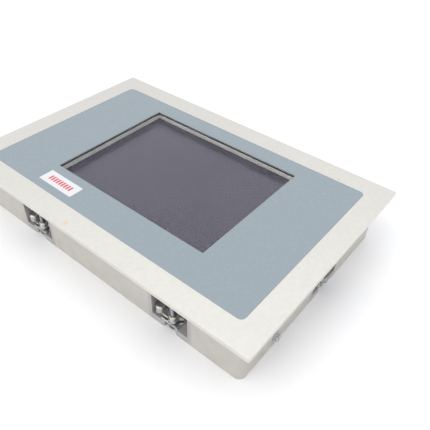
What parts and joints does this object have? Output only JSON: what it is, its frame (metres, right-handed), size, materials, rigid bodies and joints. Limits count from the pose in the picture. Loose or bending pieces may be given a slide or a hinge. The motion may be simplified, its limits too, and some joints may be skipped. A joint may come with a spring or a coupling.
{
  "type": "operator touch panel",
  "caption": "Flush-mount operator touch panel: metal front plate with a grey film and a recessed touch display, shallow metal housing and swing-out panel clamps",
  "frame": {"origin": "below the centre of the front plate, on the plane of the rear face that the panel lies on", "axes": "+X along the front plate's long side, +Y towards its top edge, +Z out of the front face"},
  "size_m": [0.2266, 0.15, 0.0347],
  "materials": {
    "brushed_front": "fine bead-blasted, clear anodised",
    "laminate": "fine satin film",
    "label": "smooth printed film",
    "black_tape": "matt",
    "touch_glass": "polished",
    "bezel": "matt grey",
    "display": "dark glossy cell",
    "backlight_case": "plain sheet",
    "seal": "closed-cell foam",
    "zinc_steel": "bright zinc plated",
    "housing_metal": "warm light grey powder coat",
    "pocket_metal": "die cast, tumbled",
    "chassis_steel": "zinc-coated sheet",
    "circuit_board": "green solder mask",
    "chip": "moulded package",
    "raw_aluminium": "sawn and milled",
    "capacitor": "printed sleeve",
    "cell_steel": "rolled",
    "black_plastic": "moulded",
    "flat_cable": "ribbon film",
    "green_plastic": "moulded",
    "contact_tin": "tin plated",
    "socket_shell": "nickel plated sheet",
    "blank_label": "blank silver film",
    "clamp_steel": "bright zinc plated",
    "clamp_brass": "nickel-washed brass",
    "clamp_zinc": "nickel plated"
  },
  "bodies": {
    "frame": {"front_plate": "brushed_front", "front_laminate": "laminate", "label_plate": "label", "touch_tape": "black_tape", "touch_glass": "touch_glass", "display_bezel": "bezel", "display_cell": "display", "backlight": "backlight_case", "front_seal": "seal", "plate_studs": "zinc_steel", "stud_nuts": "zinc_steel", "housing": "housing_metal", "clamp_boxes": "pocket_metal", "thrust_washers": "zinc_steel", "stop_pins": "zinc_steel", "chassis_posts": "zinc_steel", "chassis_plate": "chassis_steel", "chassis_screws": "zinc_steel", "board_spacers": "zinc_steel", "main_board": "circuit_board", "board_screws": "zinc_steel", "processor": "chip", "heat_block": "raw_aluminium", "memory_module": "circuit_board", "capacitors": "capacitor", "coin_cell": "cell_steel", "cell_holder": "black_plastic", "inverter_board": "circuit_board", "touch_controller": "circuit_board", "touch_cable": "flat_cable", "display_cable": "flat_cable", "power_socket": "green_plastic", "power_pins": "contact_tin", "ethernet_sockets": "socket_shell", "usb_sockets": "socket_shell", "rear_cover": "housing_metal", "cover_screws": "zinc_steel", "rating_plate": "blank_label", "earth_screw": "zinc_steel", "earth_washer": "zinc_steel"},
    "screw_1": {"clamp_screw_1": "clamp_steel"},
    "nut_1": {"clamp_nut_1": "clamp_brass"},
    "lever_1": {"clamp_lever_1": "clamp_zinc"},
    "screw_2": {"clamp_screw_2": "clamp_steel"},
    "nut_2": {"clamp_nut_2": "clamp_brass"},
    "lever_2": {"clamp_lever_2": "clamp_zinc"},
    "screw_3": {"clamp_screw_3": "clamp_steel"},
    "nut_3": {"clamp_nut_3": "clamp_brass"},
    "lever_3": {"clamp_lever_3": "clamp_zinc"},
    "screw_4": {"clamp_screw_4": "clamp_steel"},
    "nut_4": {"clamp_nut_4": "clamp_brass"},
    "lever_4": {"clamp_lever_4": "clamp_zinc"},
    "screw_5": {"clamp_screw_5": "clamp_steel"},
    "nut_5": {"clamp_nut_5": "clamp_brass"},
    "lever_5": {"clamp_lever_5": "clamp_zinc"},
    "screw_6": {"clamp_screw_6": "clamp_steel"},
    "nut_6": {"clamp_nut_6": "clamp_brass"},
    "lever_6": {"clamp_lever_6": "clamp_zinc"}
  },
  "joints": [
    {"name": "screw_turn_1", "type": "hinge", "parent": "frame", "child": "screw_1", "pos_m": [-0.049, -0.0647, 0.01], "axis": [0, 0, 1], "range_deg": [0, 13680]},
    {"name": "nut_travel_1", "type": "slide", "parent": "frame", "child": "nut_1", "axis": [0, 0, 1], "range_m": [0, 0.019]},
    {"name": "lever_swing_1", "type": "hinge", "parent": "nut_1", "child": "lever_1", "pos_m": [-0.049, -0.0647, 0.007], "axis": [0, 0, 1], "range_deg": [0, 90]},
    {"name": "screw_turn_2", "type": "hinge", "parent": "frame", "child": "screw_2", "pos_m": [0.06, -0.0647, 0.01], "axis": [0, 0, 1], "range_deg": [0, 13680]},
    {"name": "nut_travel_2", "type": "slide", "parent": "frame", "child": "nut_2", "axis": [0, 0, 1], "range_m": [0, 0.019]},
    {"name": "lever_swing_2", "type": "hinge", "parent": "nut_2", "child": "lever_2", "pos_m": [0.06, -0.0647, 0.007], "axis": [0, 0, 1], "range_deg": [0, 90]},
    {"name": "screw_turn_3", "type": "hinge", "parent": "frame", "child": "screw_3", "pos_m": [0.10295, 0.00975, 0.01], "axis": [0, 0, 1], "range_deg": [0, 13680]},
    {"name": "nut_travel_3", "type": "slide", "parent": "frame", "child": "nut_3", "axis": [0, 0, 1], "range_m": [0, 0.019]},
    {"name": "lever_swing_3", "type": "hinge", "parent": "nut_3", "child": "lever_3", "pos_m": [0.10295, 0.00975, 0.007], "axis": [0, 0, 1], "range_deg": [0, 90]},
    {"name": "screw_turn_4", "type": "hinge", "parent": "frame", "child": "screw_4", "pos_m": [0.049, 0.0647, 0.01], "axis": [0, 0, 1], "range_deg": [0, 13680]},
    {"name": "nut_travel_4", "type": "slide", "parent": "frame", "child": "nut_4", "axis": [0, 0, 1], "range_m": [0, 0.019]},
    {"name": "lever_swing_4", "type": "hinge", "parent": "nut_4", "child": "lever_4", "pos_m": [0.049, 0.0647, 0.007], "axis": [0, 0, 1], "range_deg": [0, 90]},
    {"name": "screw_turn_5", "type": "hinge", "parent": "frame", "child": "screw_5", "pos_m": [-0.06, 0.0647, 0.01], "axis": [0, 0, 1], "range_deg": [0, 13680]},
    {"name": "nut_travel_5", "type": "slide", "parent": "frame", "child": "nut_5", "axis": [0, 0, 1], "range_m": [0, 0.019]},
    {"name": "lever_swing_5", "type": "hinge", "parent": "nut_5", "child": "lever_5", "pos_m": [-0.06, 0.0647, 0.007], "axis": [0, 0, 1], "range_deg": [0, 90]},
    {"name": "screw_turn_6", "type": "hinge", "parent": "frame", "child": "screw_6", "pos_m": [-0.10295, -0.00975, 0.01], "axis": [0, 0, 1], "range_deg": [0, 13680]},
    {"name": "nut_travel_6", "type": "slide", "parent": "frame", "child": "nut_6", "axis": [0, 0, 1], "range_m": [0, 0.019]},
    {"name": "lever_swing_6", "type": "hinge", "parent": "nut_6", "child": "lever_6", "pos_m": [-0.10295, -0.00975, 0.007], "axis": [0, 0, 1], "range_deg": [0, 90]}
  ],
  "couplings": [
    {"joint": "screw_turn_1", "follows": "nut_travel_1", "rad_per_m": 12566},
    {"joint": "screw_turn_2", "follows": "nut_travel_2", "rad_per_m": 12566},
    {"joint": "screw_turn_3", "follows": "nut_travel_3", "rad_per_m": 12566},
    {"joint": "screw_turn_4", "follows": "nut_travel_4", "rad_per_m": 12566},
    {"joint": "screw_turn_5", "follows": "nut_travel_5", "rad_per_m": 12566},
    {"joint": "screw_turn_6", "follows": "nut_travel_6", "rad_per_m": 12566}
  ]
}
